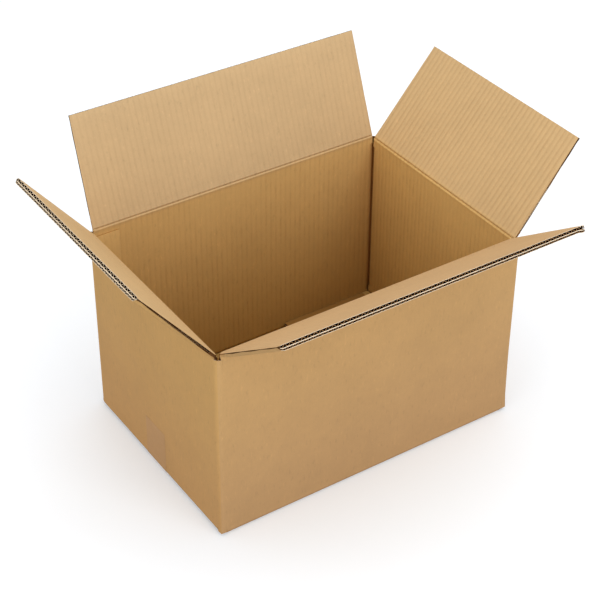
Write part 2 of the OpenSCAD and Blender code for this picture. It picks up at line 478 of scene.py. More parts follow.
# %% [markdown]
# Seven plain papers have no flute lines. The waved paper of the flutes is near black, painted shade for
# the hollows of the flutes. The punched sides and the open flutes of raw edges are a darker brown, painted
# shade in crushed and open flutes, and the pressed scores are brown too, painted shade in the slits. Every
# raw edge is paler and hairy, because the cut opens the fibres, and the flutes' own edges are a little
# browner. On the front flap they are much browner, painted shade for a flap that faces away from the front
# lamp. The bottom inside is a darker brown than the walls, painted shade at the bottom of the box.


# %% Plain papers
def plain_paper(name, tone, mottle, flecks):
    """Kraft paper with no flute lines."""
    material, net, place, shader = new_material(name)
    paper = net.place(KRAFT, Vector=place, Tone=tone, Mottle=mottle, Flecks=flecks)
    net.feed(shader.inputs["Base Color"], paper["Colour"])
    net.feed(shader.inputs["Roughness"], paper["Roughness"])
    shader.inputs["Specular IOR Level"].default_value = 0.0
    bump(net, shader, paper["Height"], 0.5, 0.3 * MM)
    return material


# Painted shade: near-black paper stands in for the shade in the hollows of the flutes.
shaded_flute_paper = plain_paper("shaded_flute_paper", linear(36, 18, 8), 1.0, 0.3)
# Painted shade: a darker brown for the punched sides of the flaps and the open flutes of raw edges.
shaded_flute_side = plain_paper("shaded_flute_side", linear(150, 104, 62), 1.0, 0.3)
# Painted shade: a darker brown for the slits of the upright scores and the tab's top.
shaded_score_paper = plain_paper("shaded_score_paper", linear(172, 126, 70), 1.0, 0.3)
flute_edge = plain_paper("flute_edge", linear(246, 218, 180), 1.5, 0.5)
# Painted shade: the front flap's flute edges are darker, as that flap faces away from the front lamp.
shaded_front_flute_edge = plain_paper("flute_edge_front_shaded", linear(178, 134, 88), 1.5, 0.5)
raw_edge = plain_paper("raw_edge", linear(250, 230, 202), 1.4, 0.5)
# Painted shade: a darker brown at the bottom of the box.
shaded_bottom_paper = plain_paper("kraft_bottom_shaded", linear(164, 122, 65), 1.0, 0.6)
PLAIN = (shaded_flute_paper, shaded_flute_side, shaded_score_paper, flute_edge, shaded_front_flute_edge, raw_edge, shaded_bottom_paper)
print("plain papers", [material.name for material in PLAIN])

# %% [markdown]
# The walls are one strip of board folded round: it starts at the raw end of the back wall, goes round
# three folds and ends in the tab that is glued inside the back wall. A cube with its ends taken off would
# give four walls too, but not that joint. So the path is drawn point by point with extrude, pulled up in
# rows, and its corners are rounded with bevel.

# %% The folded strip
ROW_HEIGHTS = [9.2 * MM, 30 * MM, 90 * MM, 150 * MM, 210 * MM, 248 * MM, SLOT_END_Z]
RAW_END_X = -HALF_L + 7.6 * MM
TAB_Y = HALF_W - BOARD - 0.05 * MM
TAB_W, TAB_FOLD_R = 36 * MM, 7.2 * MM
TAB_END_X = -HALF_L + BOARD + TAB_W


def upright_at(corners):
    """A test for the upright edges at these corners of the outline."""
    def test(a, b):
        at_corner = any(math.hypot(a.x - c[0], a.y - c[1]) < NEAR for c in corners)
        return at_corner and math.hypot(a.x - b.x, a.y - b.y) < NEAR
    return test


def folded_strip():
    """The outside of the four walls and the tab, as a sheet with no thickness yet."""
    path = [(RAW_END_X, HALF_W), (HALF_L, HALF_W), (HALF_L, -HALF_W), (-HALF_L, -HALF_W),
            (-HALF_L, TAB_Y), (TAB_END_X, TAB_Y)]
    strip = draw_path([(*place, ROW_HEIGHTS[0]) for place in path])
    for low, high in zip(ROW_HEIGHTS, ROW_HEIGHTS[1:]):
        bpy.ops.mesh.extrude_region_move(TRANSFORM_OT_translate={"value": (0, 0, high - low)})
    done()
    for corners, radius in ((path[1:4], FOLD_R), (path[4:5], TAB_FOLD_R)):
        pick(strip, upright_at(corners), "EDGE")
        bpy.ops.mesh.bevel(offset=radius, offset_type="OFFSET", segments=8, affect="EDGES")
        done()
    return strip


walls = folded_strip()
print("strip", len(walls.data.vertices), "vertices")

# %% [markdown]
# Bisect adds upright lines where the slots end and near the folds. Solidify then gives the strip the
# thickness of the board, inward. The tab is crushed thinner and its free edge runs out to a wedge.

# %% Thickness, slots and tab
SLOT_X, SLOT_Y = LONG_FLAP_W / 2, SHORT_FLAP_W / 2
TAB_LEFT = -HALF_L + BOARD
TAB_CRUSH, TAB_WEDGE, TAB_WEDGE_W = 3 * MM, 2.6 * MM, 6 * MM
SLIVER = 0.2 * MM


def cut_lines(piece, places, normal):
    """Adds edges where planes with this normal cross the piece."""
    for place in places:
        pick_all(piece)
        bpy.ops.mesh.bisect(plane_co=tuple(place * n for n in normal), plane_no=normal)
        done()


near_fold = [BOARD + d * MM for d in (2.4, 4, 6)]
cut_lines(walls, [s * (HALF_L - d) for d in near_fold for s in (-1, 1)], (1, 0, 0))
cut_lines(walls, [s * x for x in (SLOT_X, SLOT_X + SLIVER) for s in (-1, 1)], (1, 0, 0))
cut_lines(walls, [s * (HALF_W - d) for d in near_fold for s in (-1, 1)], (0, 1, 0))
cut_lines(walls, [s * y for y in (SLOT_Y, SLOT_Y + SLIVER) for s in (-1, 1)], (0, 1, 0))
cut_lines(walls, [TAB_END_X - TAB_WEDGE_W], (1, 0, 0))
front_face = min(walls.data.polygons, key=lambda f: f.center.y)
if front_face.normal.y > 0:
    pick_all(walls)
    bpy.ops.mesh.flip_normals()
    done()
apply_modifier(walls, "SOLIDIFY", thickness=BOARD, offset=-1.0, use_even_offset=True)


def on_tab(p):
    """True on the inner face of the tab."""
    return TAB_LEFT - MM < p.x < TAB_END_X + MM and abs(p.y - (TAB_Y - BOARD)) < 3 * NEAR


def on_tab_end(p):
    """True at the free edge of the tab's inner face, once it is crushed."""
    return abs(p.x - TAB_END_X) < MM and abs(p.y - (TAB_Y - BOARD + TAB_CRUSH)) < 3 * NEAR


shift(walls, on_tab, (0, TAB_CRUSH, 0))
shift(walls, on_tab_end, (0, TAB_WEDGE, 0))
print("walls", len(walls.data.vertices), "vertices,", len(walls.data.polygons), "faces")

# %% [markdown]
# At the slots and at the glued joint the board ends in a raw edge, where the papers stand up with dark
# flutes between them. The edge is cut across into twenty strips, one paper thick each, and the strips
# that lie over flutes are extruded down into the board.


# %% Raw edges of the slots and the joint
def board_depth(p):
    """How deep a point lies below the outside of the walls, round the folds too."""
    out_x = abs(p.x) - (HALF_L - FOLD_R)
    out_y = abs(p.y) - (HALF_W - FOLD_R)
    return FOLD_R - math.hypot(max(out_x, 0), max(out_y, 0)) - min(max(out_x, out_y), 0)


def over_flutes(p):
    """True where a cut edge shows flutes and not paper."""
    u = board_depth(p)
    small = PAPER < u < PAPER + SMALL_FLUTE
    large = 2 * PAPER + SMALL_FLUTE < u < BOARD - PAPER
    return small or large


def at_top(p):
    """True on the upper edge of the strip."""
    return abs(p.z - SLOT_END_Z) < CLOSE


def at_bottom(p):
    """True on the lower edge of the strip."""
    return abs(p.z - ROW_HEIGHTS[0]) < CLOSE


def at_raw_end(p):
    """True on the raw end of the back wall."""
    return abs(p.x - RAW_END_X) < CLOSE and p.y > HALF_W - BOARD - TOUCH


def on_post(p):
    """True at the corners, between the slots of two walls."""
    return abs(p.x) > SLOT_X - NEAR and abs(p.y) > SLOT_Y - NEAR


raw_places = (at_top, at_bottom, at_raw_end)
THROUGH = 5 * MM


def raw_cross_edge(a, b):
    """True for an edge that runs through the board's thickness on one of the raw edges."""
    return (any(at(a) and at(b) for at in raw_places) and on_post(a) and on_post(b)
            and abs(board_depth(a) - board_depth(b)) > THROUGH)


def open_raw_edges():
    """Cuts the raw edges into strips and sinks those over the flutes."""
    count = pick(walls, raw_cross_edge, "EDGE")
    bpy.ops.mesh.subdivide(number_cuts=round(BOARD / PAPER) - 1)
    done()
    sink = 0.8 * MM
    for at, push in ((at_top, (0, 0, -sink)), (at_bottom, (0, 0, sink)), (at_raw_end, (sink, 0, 0))):
        pick(walls, lambda c, n: at(c) and on_post(c) and over_flutes(c), "FACE")
        bpy.ops.mesh.extrude_region_move(TRANSFORM_OT_translate={"value": push})
        done()
    return count


print("raw cross edges", open_raw_edges())

# %% [markdown]
# Between the slots the wall stops lower, and the crease bands take over there. The top and bottom rows of
# each wall are moved to the place where its band begins.

# %% Wall edges under the bands
long_top = pivots["front_flap"].z - BAND
short_top = pivots["left_flap"].z - BAND
BOTTOM_DEPTH = 5.5 * MM
long_foot = BOTTOM_DEPTH + BAND
short_foot = LIFT + BOTTOM_DEPTH + BAND
TAB_DROP, TAB_FOOT, TAB_ZONE = 5 * MM, 20 * MM, 16 * MM
TAB_TOP = pivots["left_flap"].z - TAB_DROP


def on_long(p):
    """True on a long wall between its slots."""
    return abs(p.x) < SLOT_X + NEAR and abs(p.y) > HALF_W - BOARD - TOUCH


def on_short(p):
    """True on a short wall between its slots."""
    return abs(p.y) < SLOT_Y + NEAR and abs(p.x) > HALF_L - BOARD - TOUCH


def on_tab_sheet(p):
    """True on the tab, on either face."""
    return TAB_LEFT - MM < p.x < TAB_END_X + MM and HALF_W - TAB_ZONE < p.y < HALF_W - BOARD - TOUCH


def on_tab_top(p):
    """True at the top of the tab's inner face."""
    return abs(p.z - TAB_TOP) < CLOSE and on_tab_sheet(p) and p.y < TAB_Y - 2 * MM


def move_row(where, level, height):
    """Moves the vertices of one wall's row from one level to a new height."""
    return shift(walls, lambda p: where(p) and abs(p.z - level) < CLOSE, (0, 0, height - level))


for where, top, foot in ((on_long, long_top, long_foot), (on_short, short_top, short_foot),
                         (on_tab_sheet, TAB_TOP, TAB_FOOT)):
    print("row", move_row(where, SLOT_END_Z, top), move_row(where, ROW_HEIGHTS[0], foot))
shift(walls, on_tab_top, (0, TAB_WEDGE, 0))

# %% [markdown]
# Each face gets its finish by where it lies: the outside, the inside or a raw edge. Then the upright
# scores are pressed: at three inner corners the board turns out into a narrow slit, dark by its own shade
# and by the darker score brown on its faces, which is painted shade.


# %% Wall finishes and upright scores
INSIDE_X, INSIDE_Y, OUTSIDE_X, OUTSIDE_Y, FLUTES, CUT, SCORE = range(7)
SKIN = 0.2 * MM
SLIT_W = 2.4 * MM


def tab_depth(p):
    """How deep a point lies below the outside of the tab and its fold."""
    return TAB_FOLD_R - math.hypot(min(p.x + HALF_L - TAB_FOLD_R, 0), max(p.y - TAB_Y + TAB_FOLD_R, 0))


def in_tab_fold(p):
    """True in the rounded fold between the left wall and the tab."""
    return p.x < -HALF_L + TAB_FOLD_R and TAB_Y - TAB_FOLD_R < p.y < TAB_Y + TOUCH


def wall_finish(centre, normal):
    """Which of the wall's materials a face takes."""
    # Painted shade: the tab's top takes the darker score brown, so that it shows no pale lit edge.
    if on_tab_sheet(centre) and abs(normal.z) > 0.5:
        return SCORE
    along_x = abs(normal.y) >= abs(normal.x)
    u = tab_depth(centre) if on_tab_sheet(centre) or in_tab_fold(centre) else board_depth(centre)
    if abs(normal.z) < 0.5 and u < SKIN:
        return OUTSIDE_X if along_x else OUTSIDE_Y
    if abs(normal.z) < 0.5 and u > BOARD - SKIN or on_tab_sheet(centre):
        return INSIDE_X if along_x else INSIDE_Y
    is_cut = abs(normal.z) > 0.5 and not over_flutes(centre) or abs(centre.x - RAW_END_X) < CLOSE
    return CUT if is_cut else FLUTES


def in_slit(p):
    """True at the bottom of an upright score: close to the corner on the inside."""
    is_tab_corner = p.x < 0 and p.y > 0
    from_x, from_y = HALF_L - abs(p.x), HALF_W - abs(p.y)
    is_inside = min(from_x, from_y) > BOARD - SKIN
    return not is_tab_corner and is_inside and from_x + from_y < 2 * BOARD + SLIT_W


paint(walls, (inside["X"], inside["Y"], outside["X"], outside["Y"], shaded_flute_side, raw_edge, shaded_score_paper))
for face in walls.data.polygons:
    # Faces in the slits take the darker score brown as painted shade.
    face.material_index = SCORE if in_slit(face.center) else wall_finish(face.center, face.normal)


def press_upright_scores(reach, depth):
    """Pushes the board out at the inner corners, most at the corner and inside."""
    for vertex in walls.data.vertices:
        p = vertex.co
        if p.x < 0 and p.y > 0:
            continue
        near_x = smooth(1 - (HALF_L - BOARD - abs(p.x)) / reach)
        near_y = smooth(1 - (HALF_W - BOARD - abs(p.y)) / reach)
        push = depth * (near_x * near_y) ** 3 * min(max(board_depth(p) / BOARD, 0), 1)
        vertex.co.x += math.copysign(push, p.x)
        vertex.co.y += math.copysign(push, p.y)


press_upright_scores(reach=8 * MM, depth=4.2 * MM)
walls.name = "carton_walls"
shade(walls, 35)
print("walls", len(walls.data.polygons), "faces")

# %% [markdown]
# A flap is real double-wall board: three flat papers with two waved papers between. One flute's width of
# paper is modelled as a small grid whose columns are moved up and down, Array repeats it, bisect cuts it
# to the flap's width, and Solidify gives it the thickness of paper. The inner and outer papers get the
# same wave, but much lower.

# %% One paper of the board
WAVE_STEPS = 8


def paper_sheet(pitch, rise, level, width, slant, finishes, rows, low, high):
    """One paper of a flap, standing over its score with the outside towards -Y."""
    clear_selection()
    bpy.ops.mesh.primitive_grid_add(x_subdivisions=WAVE_STEPS, y_subdivisions=rows, size=1,
                                    rotation=(math.pi / 2, 0, 0))
    sheet = bpy.context.object
    sheet.scale = (pitch, high - low, 1)
    sheet.location = (0, level, (low + high) / 2)
    bpy.ops.object.transform_apply(location=True, rotation=True, scale=True)
    for step in range(WAVE_STEPS + 1):
        x = (step / WAVE_STEPS - 0.5) * pitch
        up = -rise * math.sin(2 * math.pi * x / pitch)
        shift(sheet, lambda p: abs(p.x - x) < pitch / WAVE_STEPS / 4, (0, up, 0))
    half = math.ceil(width / pitch / 2)
    sheet.location.x = -half * pitch
    bpy.ops.object.transform_apply(location=True, rotation=False, scale=False)
    apply_modifier(sheet, "ARRAY", count=2 * half + 1, use_relative_offset=False, use_constant_offset=True,
                   constant_offset_displace=(pitch, 0, 0), use_merge_vertices=True, merge_threshold=TOUCH)
    for side in (-1, 1):
        pick_all(sheet)
        bpy.ops.mesh.bisect(plane_co=(side * width / 2, 0, 0), plane_no=(side, 0, slant / FLAP_LEN),
                            clear_outer=True)
        done()
    paint(sheet, finishes)
    return sheet


# %% [markdown]
# A cut through board is never clean: the blade tears the papers a little. The free edge of each paper is
# shaken by a few tenths of a millimetre before the paper gets its thickness.


# %% The fluted board
OUTER_WAVE, INNER_WAVE, GLUE_LAP = 0.04 * MM, 0.08 * MM, 0.03 * MM
MIDDLE_PAPER = 2.2 * PAPER
ROUGHNESS = 0.25 * MM


def rough_edge(sheet, high, amount, seed):
    """Shakes the free edge of a paper."""
    pick(sheet, lambda p: p.z > high - 0.01 * MM)
    bpy.ops.transform.vertex_random(offset=amount, uniform=0.0, normal=0.0, seed=seed)
    done()


def brown_sides(board, width):
    """Gives the sides of a flap a darker brown than its free edge: painted shade for their crushed flutes.
    """
    board.data.materials.append(shaded_flute_side)
    brown = board.data.materials.find(shaded_flute_side.name)
    for face in board.data.polygons:
        if abs(face.normal.x) > 0.9 and abs(face.center.x) > width / 2 - FLAP_SLANT - 0.5 * MM:
            face.material_index = brown


def fluted_board(name, width, depth, rows, faces, slant=0.0):
    """The five papers of one flap; faces are the finishes of its outside, its inside and its cut edges."""
    outer, inner, cut = faces
    middle = PAPER + SMALL_FLUTE + PAPER / 2
    small_level = PAPER + SMALL_FLUTE / 2
    large_level = 2 * PAPER + SMALL_FLUTE + LARGE_FLUTE / 2
    small_rise = (SMALL_FLUTE - MEDIUM) / 2 + GLUE_LAP
    large_rise = (LARGE_FLUTE - MEDIUM) / 2 + GLUE_LAP
    papers = [
        (SMALL_PITCH, OUTER_WAVE, PAPER / 2, PAPER, (outer, shaded_flute_paper, cut)),
        (SMALL_PITCH, small_rise, small_level, MEDIUM, (shaded_flute_paper, shaded_flute_paper, flute_edge)),
        (SMALL_PITCH, 0.0, middle, MIDDLE_PAPER, (shaded_flute_paper, shaded_flute_paper, cut)),
        (LARGE_PITCH, large_rise, large_level, MEDIUM, (shaded_flute_paper, shaded_flute_paper, flute_edge)),
        (LARGE_PITCH, INNER_WAVE, BOARD - PAPER / 2, PAPER, (shaded_flute_paper, inner, cut))]
    sheets = []
    for seed, (pitch, rise, level, thick, finishes) in enumerate(papers):
        sheet = paper_sheet(pitch, rise, level - depth, width, slant, finishes, rows, BAND, FLAP_LEN)
        cut_lines(sheet, [FLAP_LEN - d * MM for d in (4, 8)], (0, 0, 1))
        rough_edge(sheet, FLAP_LEN, ROUGHNESS, seed)
        thicken(sheet, thick)
        sheets.append(sheet)
    board = join(sheets, name)
    brown_sides(board, width)
    return board


flap_faces = {axis: (outside[axis], inside[axis], raw_edge) for axis in outside}
long_board = fluted_board("front_flap_board", LONG_FLAP_W, LONG_DEPTH, 6, flap_faces["X"], FLAP_SLANT)
short_board = fluted_board("left_flap_board", SHORT_FLAP_W, SHORT_DEPTH, 6, flap_faces["Y"], FLAP_SLANT)
print("faces of the boards", len(long_board.data.polygons), len(short_board.data.polygons))

# %% [markdown]
# The slots are punched, and the punch pinches the board: along its sides a flap is thinner than
# elsewhere. The inner paper stays nearly flat and the others come up to it. How much differs from flap to
# flap, and from the score to the free edge. At the very tips the papers spring apart again, and at one
# tip the others drop away from the inner paper. The back flap's whole free edge is crushed too.

# %% Pinched sides
PINCH_REACH, PINCH_LEVEL = 4 * MM, 0.8
TIP_REACH = 8 * MM
WAVES, WAVE_SHARE = 21, 0.07
LOOSE_W, LOOSE_LEN, LOOSE_DROP = 12 * MM, 30 * MM, 1.8 * MM
PINCHES = {"front_flap": (0.82, 0.86, 0.7), "back_flap": (0.75, 0.7, 0.1),
           "left_flap": (0.4, 0.8, 0.2), "right_flap": (0.55, 0.65, 0.2)}
CRUSHED_EDGES = {"back_flap": 0.65}


def pinch_sides(piece, width, depth, pinch, crush=0.0):
    """Brings the papers together along both sides of an upright flap or band, and along its free edge.

    The pinch gives its strength at the score and at the free edge, and how far the tips spring apart.
    """
    at_score, at_edge, spring = pinch
    middle = PINCH_LEVEL * BOARD - depth
    for vertex in piece.data.vertices:
        p = vertex.co
        along = min(max(p.z / FLAP_LEN, 0.0), 1.0)
        inset = width / 2 - FLAP_SLANT * along - abs(p.x)
        amount = (at_score + (at_edge - at_score) * along) * smooth(1 + p.z / BAND)
        at_tip = smooth((p.z - FLAP_LEN) / TIP_REACH + 1)
        amount *= 1 - spring * at_tip
        amount *= smooth(1 - inset / PINCH_REACH) * (1 + WAVE_SHARE * math.sin(WAVES * along + p.x / width))
        amount = max(amount, crush * at_tip)
        vertex.co.y = middle + (p.y - middle) * (1 - amount)


def loosen_tip(piece, width, depth):
    """Drops the other papers away from the inner one at the right tip of an upright flap."""
    for vertex in piece.data.vertices:
        p = vertex.co
        inset = width / 2 - FLAP_SLANT - p.x
        if p.y + depth < BOARD - 1.2 * PAPER:
            at_end = smooth((p.z - FLAP_LEN) / LOOSE_LEN + 1)
            vertex.co.y -= LOOSE_DROP * smooth(1 - inset / LOOSE_W) * at_end


# %% [markdown]
# At a score the board is crushed along a line and folds there. The crease band is a strip of the same
# five papers that reaches from the wall to the flap. It is modelled flat, as the score is pressed into
# the flat blank: a groove inside with a soft bead below it. Then it is folded about the joint's line, the
# inner paper sharply and the outer paper in a wider curve.

# %% Crease bands
PIVOT_REACH, INNER_SHARPER, SHUT_REACH = 8 * MM, 4 * MM, 4.2 * MM
TOP_COLUMNS, TOP_ROWS, BOTTOM_COLUMNS, BOTTOM_ROWS = 24, 32, 6, 24
BEAD_HEIGHTS = {"X": 0.45 * MM, "Y": 0.1 * MM}
GROOVE_DEPTH, FLAP_BEAD_HEIGHT, DENT_SHARE = 1.9 * MM, 0.05 * MM, 1.5


def hump(v, width):
    """1 at 0, and falling to nothing on both sides over a few widths."""
    return math.exp(-(v / width) ** 2)


def score_shape(v, share, bead_height):
    """How far a paper is pressed in or out at a distance from the score.

    The share is 0 for the outer paper and 1 for the inner one. The bead lies on the wall's side.
    """
    groove = -GROOVE_DEPTH * hump(v, 0.75 * MM)
    bead = bead_height * hump(v + 2.2 * MM, 1.6 * MM)
    flap_bead = FLAP_BEAD_HEIGHT * hump(v - 3.6 * MM, 2.0 * MM)
    dent = DENT_SHARE * bead_height * hump(v, 4 * MM)
    return share * (groove + bead + flap_bead) + (1 - share) * dent


def fold(sheet, lean, reach):
    """Turns each row of a paper about the score by its share of the lean."""
    for vertex in sheet.data.vertices:
        share = smooth((vertex.co.z + reach) / (2 * reach))
        vertex.co = Matrix.Rotation(lean * share, 3, "X") @ vertex.co


def band_paper(width, depth, lean, level, thick, finishes, columns, rows, pinch, bead_height):
    """One paper of a crease band, pressed flat and then folded."""
    clear_selection()
    bpy.ops.mesh.primitive_grid_add(x_subdivisions=columns, y_subdivisions=rows, size=1,
                                    rotation=(math.pi / 2, 0, 0))
    sheet = bpy.context.object
    sheet.scale = (width, 2 * BAND, 1)
    sheet.location = (0, level - depth, 0)
    bpy.ops.object.transform_apply(location=True, rotation=True, scale=True)
    share = level / BOARD
    for row in range(rows + 1):
        v = (row / rows - 0.5) * 2 * BAND
        pressed = score_shape(v, share, bead_height)
        if abs(pressed) > 0.01 * MM:
            shift(sheet, lambda p: abs(p.z - v) < NEAR, (0, pressed, 0))
    cut_lines(sheet, [s * (width / 2 - d * MM) for d in (1.2, 2.8, 5, 7.5) for s in (-1, 1)], (1, 0, 0))
    if pinch:
        pinch_sides(sheet, width, depth, pinch)
        for vertex in sheet.data.vertices:
            vertex.co.x *= 1 - 2 * FLAP_SLANT / width * max(vertex.co.z, 0.0) / FLAP_LEN
    fold(sheet, lean, PIVOT_REACH - share * INNER_SHARPER if pinch else SHUT_REACH)
    paint(sheet, finishes)
    thicken(sheet, thick)
    return sheet


def crease_band(name, width, depth, lean, axis, columns, rows, pinch=None):
    """All five papers of the board where it crosses a score."""
    hidden = (shaded_flute_paper, shaded_flute_paper, shaded_flute_side)
    levels = [
        (PAPER / 2, PAPER, (outside[axis], shaded_flute_paper, shaded_flute_side)),
        (PAPER + SMALL_FLUTE / 2, MEDIUM, hidden),
        (PAPER + SMALL_FLUTE + PAPER / 2, PAPER, hidden),
        (2 * PAPER + SMALL_FLUTE + LARGE_FLUTE / 2, MEDIUM, hidden),
        (BOARD - PAPER / 2, PAPER, (shaded_flute_paper, inside[axis], shaded_flute_side))]
    bead_height = BEAD_HEIGHTS[axis] if pinch else 0.0
    sheets = [band_paper(width, depth, lean, level, thick, finishes, columns, rows, pinch, bead_height)
              for level, thick, finishes in levels]
    return join(sheets, name)


# %% [markdown]
# Every flap piece has been modelled upright over a score at the origin. Placing it means one turn for the
# lean, one for the wall that it hangs on, and a move to the joint. The place is then applied, so that
# each finished object sits at the origin with its place in its mesh.


# %% Place the four top flaps
def put(piece, pivot, angle, lean=0.0, upside_down=False):
    """Turns and moves a piece from its score at the origin to a score of the carton."""
    take(piece)
    over = Matrix.Rotation(math.pi if upside_down else 0.0, 4, "Y")
    piece.matrix_world = (Matrix.Translation(pivot) @ Matrix.Rotation(math.radians(angle), 4, "Z") @ over
                          @ Matrix.Rotation(lean, 4, "X"))
    bpy.ops.object.transform_apply(location=True, rotation=True, scale=True)
    shade(piece, 40)


def swap_finish(pieces, old, new):
    """Gives pieces one finish in the place of another."""
    for piece in pieces:
        for slot in piece.material_slots:
            if slot.material == old:
                slot.material = new


boards = {"front_flap": long_board, "left_flap": short_board,
          "back_flap": copy_of(long_board, "back_flap_board"),
          "right_flap": copy_of(short_board, "right_flap_board")}
bands = {}
for name, angle in SHOWN_FLAPS.items():
    is_long = angle in (0, 180)
    width, depth, axis = (LONG_FLAP_W, LONG_DEPTH, "X") if is_long else (SHORT_FLAP_W, SHORT_DEPTH, "Y")
    bands[name] = crease_band(name + "_crease", width, depth, leans[name], axis, TOP_COLUMNS, TOP_ROWS,
                              PINCHES[name])
    pinch_sides(boards[name], width, depth, PINCHES[name], CRUSHED_EDGES.get(name, 0.0))
    if name == "front_flap":
        loosen_tip(boards[name], width, depth)
    if name == "front_flap":
        # The front flap takes the painted shade copies of its inside and of its flute edges.
        swap_finish((boards[name], bands[name]), inside["X"], front_inside_shaded)
        swap_finish((boards[name],), flute_edge, shaded_front_flute_edge)
    put(bands[name], pivots[name], angle)
    put(boards[name], pivots[name], angle, leans[name])
print("bands", {n: len(b.data.polygons) for n, b in bands.items()})

# %% [markdown]
# The bottom is the same board turned over: short flaps folded in first, long flaps under them. They are
# shut and taped, so their creases don't bend and simply ride with the walls.


# %% The shut bottom
def bottom_score(angle, distance, height):
    """The place of a bottom flap's score on the wall at this angle."""
    return Matrix.Rotation(math.radians(angle), 3, "Z") @ Vector((0, BOTTOM_DEPTH - distance, height))


feet = []
# The bottom boards' inside and cut edges take the darker bottom brown, painted shade.
bottom_faces = {axis: (outside[axis], shaded_bottom_paper, shaded_bottom_paper) for axis in outside}
long_lower = fluted_board("front_bottom_board", LONG_FLAP_W, BOTTOM_DEPTH, 2, bottom_faces["X"])
short_lower = fluted_board("left_bottom_board", SHORT_FLAP_W, BOTTOM_DEPTH, 2, bottom_faces["Y"])
lower_boards = {"front": long_lower, "back": copy_of(long_lower, "back_bottom_board"),
                "left": short_lower, "right": copy_of(short_lower, "right_bottom_board")}
for side, angle in (("front", 0), ("right", 90), ("back", 180), ("left", 270)):
    is_long = angle in (0, 180)
    width, axis, distance = (LONG_FLAP_W, "X", HALF_W) if is_long else (SHORT_FLAP_W, "Y", HALF_L)
    place = bottom_score(angle, distance, BOTTOM_DEPTH + (0 if is_long else LIFT))
    foot = crease_band(side + "_bottom_fold", width, BOTTOM_DEPTH, -math.pi / 2, axis, BOTTOM_COLUMNS,
                       BOTTOM_ROWS)
    put(foot, place, angle, upside_down=True)
    put(lower_boards[side], place, angle, -math.pi / 2, upside_down=True)
    feet.append(foot)
print("bottom", [round(min(v.co.z for v in f.data.vertices) / MM, 2) for f in feet])

# %% [markdown]
# The tape is a strip of clear film under the seam, turned up over both short walls. Through it the board
# shows a little greyer, with a satin gloss and fine wrinkles. Its path is extruded like the walls' path,
# and its ends get the teeth of a tape cutter.


# %% Tape finish
def tape_material():
    """Clear film on kraft board."""
    material, net, place, shader = new_material("packing_tape_film")
    paper = net.place(KRAFT, Vector=place, Tone=linear(197, 153, 106), Mottle=0.8, Flecks=0.6)
    net.feed(shader.inputs["Base Color"], paper["Colour"])
    creases = net.noise(net.stretch(place, (1.0, 0.35, 1.0)), scale=160.0, detail=4.0, roughness=0.55)
    net.feed(shader.inputs["Roughness"], net.math("MULTIPLY_ADD", creases, 0.25, 0.5))
    shader.inputs["Specular IOR Level"].default_value = 0.16
    bump(net, shader, creases, 0.35, 0.3 * MM)
    return material


tape_film = tape_material()

# %% The tape
TAPE_W, TAPE_UP, TAPE_GAP, TAPE_FILM = 47.6 * MM, 60 * MM, 0.12 * MM, 0.06 * MM
TEETH, TOOTH_DEPTH = 16, 0.9 * MM
TOOTH_W = TAPE_W / 2 / TEETH


def bottom_tape():
    """The tape's path under the bottom and round both feet, drawn out to its width."""
    foot_x = HALF_L + TAPE_GAP
    end = [(foot_x, LIFT + TAPE_UP), (foot_x, LIFT + 16 * MM), (foot_x + 0.35 * MM, LIFT + 8 * MM),
           (foot_x + 0.25 * MM, LIFT + 4.2 * MM), (foot_x - 3.4 * MM, LIFT - 1.6 * MM), (SLOT_X, -0.1 * MM)]
    path = [(-x, z) for x, z in end] + end[::-1]
    tape = draw_path([(x, -TAPE_W / 2, z) for x, z in path])
    for _ in range(2 * TEETH):
        bpy.ops.mesh.extrude_region_move(TRANSFORM_OT_translate={"value": (0, TOOTH_W, 0)})
    done()
    return tape


def between_teeth(p):
    """True at every second point of the tape's two ends."""
    return p.z > LIFT + TAPE_UP - NEAR and round((p.y + TAPE_W / 2) / TOOTH_W) % 2 == 1


tape = bottom_tape()
shift(tape, between_teeth, (0, 0, -TOOTH_DEPTH))
cut_lines(tape, [LIFT + d * MM for d in (18, 34, 48)], (0, 0, 1))
pick_all(tape)
bpy.ops.mesh.normals_make_consistent(inside=False)
done()
apply_modifier(tape, "SOLIDIFY", thickness=TAPE_FILM, offset=0.0)
tape.name = "bottom_tape_film"
tape.data.materials.append(tape_film)
shade(tape, 30)
print("tape", len(tape.data.polygons), "faces")

# %% [markdown]
# A carton settles on its feet. The short bottom flaps lie on the long ones, a board higher, but the short
# walls and the corners sag past the ends of the long flaps until they nearly reach the floor.


# %% Settled feet
SAG, SAG_REACH, SAG_TOP, SAG_FADE = 5.5 * MM, 6 * MM, 60 * MM, 45 * MM
SHARP_SHARE, SHARP_TOP, SHARP_FADE = 0.8, 45 * MM, 40 * MM
BULGE = 0.35 * MM


def settle(piece):
    """Lets the outer side of the short walls and the corners down near the floor."""
    for vertex in piece.data.vertices:
        p = vertex.co
        out = abs(p.x) - SLOT_X
        if out > NEAR and abs(p.y) > SLOT_Y:
            out = max(out, abs(p.y) - SLOT_Y)
        vertex.co.z -= SAG * smooth(out / SAG_REACH) * smooth((SAG_TOP - p.z) / SAG_FADE)


def flatten(piece):
    """Presses a fold that bulges down towards the floor up by half of its bulge."""
    for vertex in piece.data.vertices:
        if vertex.co.z < BULGE:
            vertex.co.z = (BULGE + vertex.co.z) / 2


